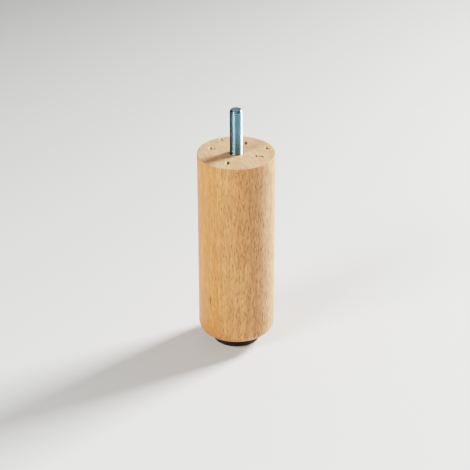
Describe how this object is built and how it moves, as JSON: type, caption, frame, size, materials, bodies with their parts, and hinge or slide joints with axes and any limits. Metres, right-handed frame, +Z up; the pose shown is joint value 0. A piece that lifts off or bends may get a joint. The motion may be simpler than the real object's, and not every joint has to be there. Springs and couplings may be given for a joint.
{
  "type": "adjustable wooden furniture leg",
  "caption": "Turned beech furniture leg with a threaded stud on top and a screw-adjusted levelling foot below.",
  "frame": {"origin": "on the floor under the middle of the levelling foot, with the foot screwed fully in", "axes": "+Z up along the leg's axis, towards the stud; +X to the right and +Y away from the viewer of the picture"},
  "size_m": [0.06, 0.06, 0.199],
  "materials": {
    "beech": "satin",
    "zinc_stud": "satin",
    "zinc_nut": "satin",
    "zinc_screw": "satin",
    "black_polyamide": "matte"
  },
  "bodies": {
    "leg": {"turned_leg": "beech", "hanger_stud": "zinc_stud", "tee_nut": "zinc_nut"},
    "foot": {"foot_base": "black_polyamide"},
    "screw": {"levelling_screw": "zinc_screw"}
  },
  "joints": [
    {"name": "foot_travel", "type": "slide", "parent": "leg", "child": "foot", "axis": [0, 0, -1], "range_m": [0, 0.015]},
    {"name": "screw_turn", "type": "hinge", "parent": "foot", "child": "screw", "pos_m": [0, 0, 0], "axis": [0, 0, -1], "range_deg": [0, 3600]}
  ],
  "couplings": [
    {"joint": "screw_turn", "follows": "foot_travel", "rad_per_m": 4188.8}
  ]
}
